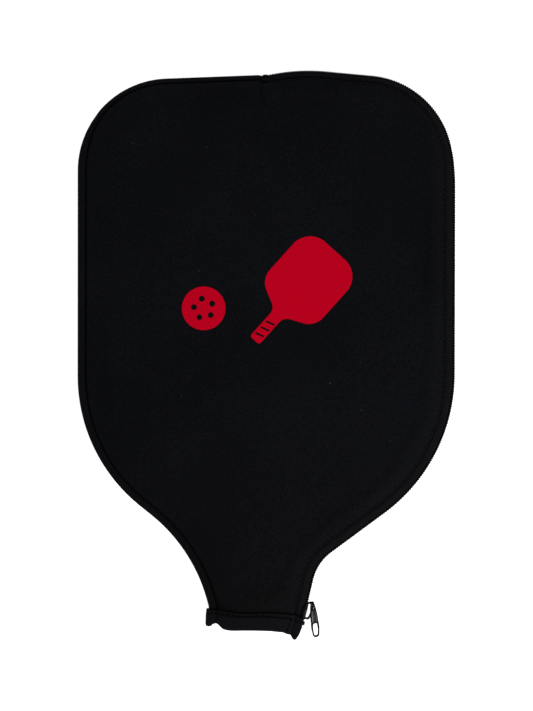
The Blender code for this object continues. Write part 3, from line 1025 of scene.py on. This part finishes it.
def build_end_clamp(place, surface):
    """The moulded stop below the slider, closed round both coils."""
    mesh = bmesh.new()
    bmesh.ops.create_cube(mesh, size=1.0)
    bmesh.ops.subdivide_edges(mesh, edges=mesh.edges, cuts=2, use_grid_fill=True)
    for vertex in mesh.verts:
        x, y, z = vertex.co
        waist = 1.0 - 0.16 * (abs(z) < 0.3)
        vertex.co = place @ Vector((x * 2.4 * waist + 1.9, y * 2.2 - 7.5, z * 5.0)) * MM
    item = add("zip_end_clamp", to_mesh("zip_end_clamp", mesh))
    modify(item, "SUBSURF", levels=2, render_levels=2)
    apply_modifiers(item)
    return shade(item, surface)


def build_start_tack(surface):
    """Bar tack that wraps the zip's start."""
    along = (ZIPPED[0] - ZIPPED[1]).normalized()
    look = Vector((-along.y, along.x))
    lines = []
    for turn in range(5):
        at = ZIPPED[0] - along * (0.9 + 0.45 * turn)
        loop = []
        for step in range(15):
            angle = 2.0 * math.pi * step / 14
            x, y = at + look * (1.1 - 1.25 * math.cos(angle)) - along * (0.03 * step)
            loop.append(Vector((x, y, SEAM_Z + 2.7 * math.sin(angle))))
        lines.append(loop)
    return shade(tubes("zip_start_bartack", lines, 0.24, 6, False), surface)


# ---------------------------------------------------------------- materials

class Nodes:
    """A material's Principled shader and the nodes that feed it."""

    def __init__(self, name):
        self.made = bpy.data.materials.new(name)
        self.made.use_nodes = True
        self.tree = self.made.node_tree
        self.shader = self.tree.nodes["Principled BSDF"]

    def node(self, kind, inputs=None, **settings):
        made = self.tree.nodes.new(kind)
        for name, value in settings.items():
            setattr(made, name, value)
        for name, value in (inputs or {}).items():
            if isinstance(value, bpy.types.NodeSocket):
                self.tree.links.new(value, made.inputs[name])
            else:
                made.inputs[name].default_value = value
        return made

    def place(self, source="Object", turn=0.0, stretch=(1.0, 1.0, 1.0)):
        at = self.node("ShaderNodeTexCoord").outputs[source]
        inputs = {"Vector": at, "Rotation": (0.0, 0.0, turn), "Scale": stretch}
        return self.node("ShaderNodeMapping", inputs).outputs["Vector"]

    def noise(self, vector, size, detail=2.0):
        """Noise with spots of about this size in millimetres."""
        inputs = {"Vector": vector, "Scale": 0.6 / (size * MM), "Detail": detail}
        return self.node("ShaderNodeTexNoise", inputs).outputs["Fac"]

    def wave(self, vector, pitch, distortion=0.0, axis="X"):
        """Ridges with this pitch in millimetres."""
        inputs = {"Vector": vector, "Scale": math.pi / 10.0 / (pitch * MM), "Distortion": distortion}
        return self.node("ShaderNodeTexWave", inputs, bands_direction=axis).outputs["Fac"]

    def spread(self, value, low, high, start=0.0, end=1.0):
        """Maps a value between start and end to a range."""
        inputs = {"Value": value, "From Min": start, "From Max": end, "To Min": low, "To Max": high}
        return self.node("ShaderNodeMapRange", inputs).outputs["Result"]

    def math(self, operation, first, second):
        return self.node("ShaderNodeMath", {0: first, 1: second}, operation=operation).outputs[0]

    def mix(self, share, first, second):
        made = self.node("ShaderNodeMix", data_type="RGBA")
        for index, value in ((0, share), (6, first), (7, second)):
            if isinstance(value, bpy.types.NodeSocket):
                self.tree.links.new(value, made.inputs[index])
            elif index:
                made.inputs[index].default_value = (*value, 1.0)
            else:
                made.inputs[index].default_value = value
        return made.outputs[2]

    def cells(self, vector, size):
        """The knit's cells, each about this many millimetres across."""
        inputs = {"Vector": vector, "Scale": 1.0 / (size * MM)}
        return self.node("ShaderNodeTexVoronoi", inputs).outputs["Distance"]

    def bump(self, height, depth, strength=1.0, under=None):
        inputs = {"Height": height, "Distance": depth * MM, "Strength": strength}
        if under:
            inputs["Normal"] = under
        return self.node("ShaderNodeBump", inputs).outputs["Normal"]

    def finish(self, colour, rough=None, normal=None, **values):
        for name, value in values.items():
            self.shader.inputs[name.replace("_", " ")].default_value = value
        for name, value in (("Base Color", colour), ("Roughness", rough), ("Normal", normal)):
            if value is not None:
                self.tree.links.new(value, self.shader.inputs[name])
        return self.made


def foam_rubber():
    """Black foam rubber with a fine knit face: heathered, a few specks of lint, less blue at the neck."""
    m = Nodes("foam_rubber_knit")
    at = m.place()
    grain = m.noise(at, 0.65, 4.0)
    wide = m.noise(at, 38.0, 2.0)
    tone = m.spread(grain, 0.38, 1.0, 0.32, 0.68)
    tone = m.math("MULTIPLY", tone, m.spread(wide, 0.8, 1.2, 0.35, 0.65))
    along = m.node("ShaderNodeSeparateXYZ", {"Vector": at}).outputs["Y"]
    faded = m.spread(along, 1.0, 0.0, -0.14, -0.03)
    light = m.mix(faded, (0.0054, 0.0057, 0.0071), (0.0054, 0.0054, 0.006))
    colour = m.mix(tone, (0.0011, 0.0012, 0.0015), light)
    lint = m.spread(m.noise(at, 1.5, 1.0), 0.0, 1.0, 0.82, 0.86)
    colour = m.mix(lint, colour, (0.05, 0.05, 0.05))
    normal = m.bump(m.cells(at, KNIT_CELL), 0.10, 0.5)
    normal = m.bump(grain, 0.12, 0.4, normal)
    rough = m.spread(wide, 0.78, 0.95, 0.3, 0.7)
    gloss = {"Specular_IOR_Level": 0.015, "Sheen_Weight": 0.003, "Sheen_Roughness": 0.5}
    return m.finish(colour, rough, normal, **gloss)


def woven_tape():
    """Zip tape: ribs across it and warp lines along it, with painted shade in the groove beside the panel."""
    m = Nodes("zip_tape_weave_painted_shade")
    at = m.place("UV")
    ribs = m.wave(at, 0.55, 0.6)
    warp = m.wave(at, 0.8, 0.3, "Y")
    weave = m.math("MULTIPLY", ribs, m.spread(warp, 0.55, 1.0))
    grain = m.noise(m.place(), 0.7, 3.0)
    tone = m.math("MULTIPLY", m.spread(weave, 0.35, 1.0), m.spread(grain, 0.6, 1.1, 0.3, 0.7))
    across = m.node("ShaderNodeSeparateXYZ", {"Vector": at}).outputs["Y"]
    # groove carries painted shade: the tape is darkened where it meets the panel's edge.
    groove = m.math("ABSOLUTE", m.math("SUBTRACT", across, 0.0074), 0.0)
    tone = m.math("MULTIPLY", tone, m.spread(groove, 0.1, 1.0, 0.0004, 0.0011))
    colour = m.mix(tone, (0.0016, 0.0014, 0.0018), (0.0118, 0.0107, 0.0126))
    normal = m.bump(weave, 0.14, 0.7)
    rough = m.spread(grain, 0.75, 0.92, 0.3, 0.7)
    return m.finish(colour, rough, normal, Specular_IOR_Level=0.02, Sheen_Weight=0.004)


def twill():
    """Binding: slanted twill ridges, with painted shade at the top edge's fold and along the pressed stitch
    line.
    """
    m = Nodes("binding_twill_painted_shade")
    at = m.place("UV", turn=math.radians(56.0))
    ridges = m.wave(at, 0.85, 0.5)
    grain = m.noise(m.place(), 0.8, 3.0)
    tone = m.math("MULTIPLY", m.spread(ridges, 0.4, 1.0), m.spread(grain, 0.65, 1.1, 0.3, 0.7))
    across = m.node("ShaderNodeSeparateXYZ", {"Vector": m.place("UV")}).outputs["X"]
    # edge and seam carry painted shade: the colour is darkened at the top edge's fold and along the pressed
    # stitch line.
    edge = m.spread(across, 0.0, 1.0, 0.0002, 0.0009)
    seam = m.math("ABSOLUTE", m.math("SUBTRACT", across, 0.0024), 0.0)
    tone = m.math("MULTIPLY", tone, m.math("MULTIPLY", edge, m.spread(seam, 0.35, 1.0, 0.0002, 0.0007)))
    colour = m.mix(tone, (0.0004, 0.0004, 0.0006), (0.0078, 0.0075, 0.0089))
    normal = m.bump(ridges, 0.12, 0.6)
    rough = m.spread(grain, 0.78, 0.94, 0.3, 0.7)
    return m.finish(colour, rough, normal, Specular_IOR_Level=0.02, Sheen_Weight=0.004)


def nylon(name, dark, light, low, high, specular):
    """Nylon filament or moulding, slightly uneven in tone and gloss."""
    m = Nodes(name)
    at = m.place()
    fine = m.noise(at, 0.35, 2.0)
    wide = m.noise(at, 6.0, 2.0)
    colour = m.mix(m.spread(wide, 0.0, 1.0, 0.35, 0.65), dark, light)
    normal = m.bump(fine, 0.03, 0.4)
    rough = m.spread(fine, low, high, 0.35, 0.65)
    return m.finish(colour, rough, normal, Specular_IOR_Level=specular)


def twisted_thread():
    """Sewing thread: fine slanted twist and fuzz."""
    m = Nodes("thread_twist")
    at = m.place(turn=math.radians(40.0))
    twist = m.wave(at, 0.34, 0.4)
    fuzz = m.noise(at, 0.4, 3.0)
    colour = m.mix(m.spread(fuzz, 0.0, 1.0, 0.3, 0.7), (0.0003, 0.0003, 0.0004), (0.0012, 0.0012, 0.0015))
    normal = m.bump(twist, 0.06, 0.6)
    rough = m.spread(fuzz, 0.6, 0.85, 0.3, 0.7)
    return m.finish(colour, rough, normal, Specular_IOR_Level=0.03, Sheen_Weight=0.003)


def red_film():
    """Printed red film: the knit shows faintly through."""
    m = Nodes("red_film_print")
    at = m.place()
    grain = m.noise(at, 0.8, 4.0)
    wide = m.noise(at, 14.0, 3.0)
    tone = m.math("MULTIPLY", m.spread(grain, 0.82, 1.0, 0.3, 0.7), m.spread(wide, 0.93, 1.0, 0.3, 0.7))
    colour = m.mix(tone, (0.26, 0.0, 0.0065), (0.5, 0.0001, 0.013))
    normal = m.bump(m.cells(at, KNIT_CELL), 0.05, 0.4)
    rough = m.spread(grain, 0.42, 0.62, 0.3, 0.7)
    return m.finish(colour, rough, normal, Specular_IOR_Level=0.01)


def plated_metal(name, dark, light):
    """Dark plated zinc: fine scratches, slightly uneven in tone."""
    m = Nodes(name)
    at = m.place()
    scratch = m.noise(m.place(stretch=(1.0, 0.12, 1.0)), 0.25, 3.0)
    patch = m.noise(at, 2.2, 3.0)
    colour = m.mix(m.spread(patch, 0.0, 1.0, 0.3, 0.7), dark, light)
    normal = m.bump(scratch, 0.02, 0.35)
    rough = m.spread(scratch, 0.2, 0.4, 0.3, 0.7)
    return m.finish(colour, rough, normal, Metallic=1.0)


# ---------------------------------------------------------------- stage

def build_stage():
    """A white floor, soft lights overhead and a camera straight above the front."""
    mesh = bmesh.new()
    bmesh.ops.create_grid(mesh, x_segments=4, y_segments=4, size=3.0)
    floor = add("studio_floor", to_mesh("studio_floor", mesh))
    floor.location.z = -0.0004
    m = Nodes("studio_white")
    tone = m.noise(m.place(), 900.0, 1.0)
    colour = m.mix(m.spread(tone, 0.0, 1.0), (0.9, 0.9, 0.9), (0.92, 0.92, 0.92))
    surface = m.finish(
        colour, Roughness=0.9, Emission_Color=(1.0, 1.0, 1.0, 1.0), Emission_Strength=0.75
    )
    floor.data.materials.append(surface)

    world = bpy.data.worlds.new("studio")
    world.use_nodes = True
    world.node_tree.nodes["Background"].inputs["Color"].default_value = (0.93, 0.95, 1.0, 1.0)
    world.node_tree.nodes["Background"].inputs["Strength"].default_value = 0.42
    bpy.context.scene.world = world

    for name, place, size, power in (
        ("key", (0.45, -0.5, 0.85), 0.7, 8.5),
        ("fill", (-0.9, 0.3, 1.2), 0.8, 1.5),
        ("rim", (0.2, 1.1, 0.9), 0.7, 0.8),
    ):
        lamp = bpy.data.lights.new(name, "AREA")
        lamp.size = size
        lamp.energy = power
        lamp.color = (1.0, 0.99, 0.97) if name == "key" else (0.94, 0.97, 1.0)
        item = add(name, lamp)
        item.location = place
        item.rotation_euler = (-Vector(place)).to_track_quat("-Z", "Y").to_euler()

    camera = bpy.data.cameras.new("camera")
    camera.lens = 100.0
    camera.sensor_width = 36.0
    view = add("camera", camera)
    frame_height = 410.6
    view.location = (0.0, 0.0, (SEAM_Z + frame_height * camera.lens / camera.sensor_width) * MM)
    bpy.context.scene.camera = view
    bpy.context.scene.view_settings.view_transform = "Standard"


# ---------------------------------------------------------------- putting it together

def bend(item):
    """Bakes a piece of the front's placement into its mesh."""
    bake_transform(item)


def main():
    build_stage()
    cloth, tape, binding = foam_rubber(), woven_tape(), twill()
    thread, film_red = twisted_thread(), red_film()
    metal = plated_metal("slider_black_plate", (0.002, 0.002, 0.0025), (0.009, 0.0095, 0.012))
    worn_metal = plated_metal("pull_face_gunmetal", (0.028, 0.027, 0.026), (0.06, 0.058, 0.055))
    coil_black = nylon("zip_coil_nylon", (0.0004, 0.0004, 0.0005), (0.0018, 0.0018, 0.0022), 0.35, 0.55, 0.08)
    stop_black = nylon("zip_stop_nylon", (0.0004, 0.0004, 0.0005), (0.0016, 0.0016, 0.0018), 0.4, 0.6, 0.08)

    front, back = build_panels(cloth)
    tapes = [build_tape("front_zip_tape", 1, tape), build_tape("back_zip_tape", -1, tape)]
    stop = zip_distance(SLIDER_Y - COIL_STOP)
    coils = [
        tubes("front_zip_coil", [coil_line(1, COIL_START, stop)], FILAMENT, 6, False),
        tubes("back_zip_coil", [coil_line(-1, COIL_START, stop)], FILAMENT, 6, False),
    ]
    for coil in coils:
        shade(coil, coil_black)

    sewn = (SEWN_PITCH, SEWN_STARTS, SEWN_LENGTH - SEWN_STOPS)
    zipped = (ZIP_PITCH, ZIP_STARTS, ZIP_LENGTH - ZIP_STOPS)
    stitches = []
    for word, height, side in (("front", front_height, 1.0), ("back", back_height, -1.0)):
        item = edge_stitches("sewn_topstitch_" + word, SEWN, height, False, thread, *sewn, side)
        stitches.append((item, "seam_stitch_" + word))
        item = edge_stitches("zip_topstitch_" + word, ZIPPED, height, True, thread, *zipped, side)
        stitches.append((item, "zip_stitch_" + word))

    back_low = [(x, y + 1.2 + 0.6 * math.sin(x / 4.0)) for x, y in HEM_LOW]
    bands = [
        build_binding("front_hem_binding", front_height, 1, HEM_LOW, binding),
        build_binding("back_hem_binding", back_height, -1, back_low, binding),
    ]
    topstitch = hem_stitches("hem_topstitch", thread)
    tack = hem_tack("hem_end_stitches", thread)
    ball, paddle = build_sign(front, film_red)
    place = slider_place()
    shell, bridge = build_slider(place, metal), build_bail(place, metal)
    pull, inlay = build_pull(place, metal, worn_metal)
    clamp = build_end_clamp(place, stop_black)
    bartack = build_start_tack(thread)

    for item, slot, nodes in (
        (front, "foam_rubber", ("front_panel_fixed", "front_panel_flap")),
        (tapes[0], "zip_tape", ("zip_tape_front",)),
        (coils[0], "zip_coil", ("zip_coil_front",)),
        (stitches[0][0], "thread", (stitches[0][1],)),
        (stitches[1][0], "thread", (stitches[1][1],)),
        (bands[0], "binding", ("hem_band_front",)),
        (topstitch, "thread", ("hem_stitch_front",)),
        (tack, "thread", ("hem_end_tack",)),
        (paddle, "emblem_film", ("emblem_paddle",)),
    ):
        bend(item)
        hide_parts(*nodes)
    for item, body, slot, node in (
        (back, "case", "foam_rubber", "back_panel"),
        (tapes[1], "case", "zip_tape", "zip_tape_back"),
        (coils[1], "case", "zip_coil", "zip_coil_back"),
        (stitches[2][0], "case", "thread", stitches[2][1]),
        (stitches[3][0], "case", "thread", stitches[3][1]),
        (bands[1], "case", "binding", "hem_band_back"),
        (ball, "case", "emblem_film", "emblem_ball"),
        (clamp, "case", "zip_stop", "zip_end_stop"),
        (bartack, "case", "thread", "zip_start_tack"),
        (shell, "slider", "slider_metal", "slider_body"),
        (bridge, "slider", "slider_metal", "slider_bail"),
        (pull, "pull", "slider_metal", "pull_tab"),
        (inlay, "pull", "slider_metal", "pull_tab"),
    ):
        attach(item, body)
        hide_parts(node)


main()
